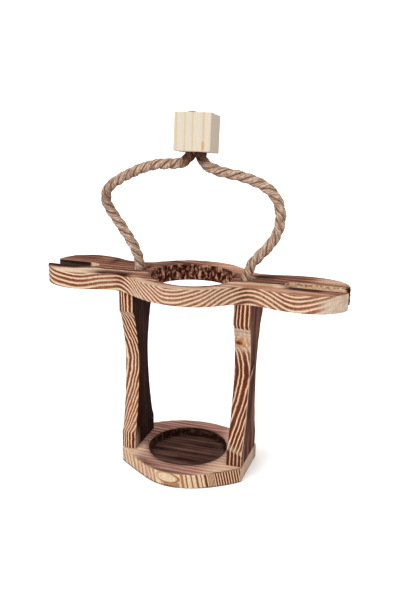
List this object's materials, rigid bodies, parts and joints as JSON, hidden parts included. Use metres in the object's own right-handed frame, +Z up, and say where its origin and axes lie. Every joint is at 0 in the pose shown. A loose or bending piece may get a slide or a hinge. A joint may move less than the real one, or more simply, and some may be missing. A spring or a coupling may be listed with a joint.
{
  "type": "wine bottle holder",
  "caption": "Burnt pine caddy that stands on a table: a bottle drops through its collar into a base recess, stemmed drinkware hangs in open slots, and a rope with a wooden block lifts it.",
  "frame": {"origin": "on the floor, under the middle of the whole stand", "axes": "+X along the top board to the right, +Y away from the front, +Z up"},
  "size_m": [0.3073, 0.1174, 0.3606],
  "materials": {
    "burnt_pine": "flame-scorched and wire-brushed pine, satin",
    "plain_pine": "sanded bare pine, matt",
    "jute": "three-strand twisted natural rope, matt and hairy",
    "zinc_steel": "zinc-plated, dull"
  },
  "bodies": {
    "root": {"base_board": "burnt_pine", "left_upright": "burnt_pine", "right_upright": "burnt_pine", "top_board": "burnt_pine", "grip_block": "plain_pine", "rope_left": "jute", "rope_right": "jute", "base_screws": "zinc_steel", "top_pins": "zinc_steel"}
  },
  "joints": []
}
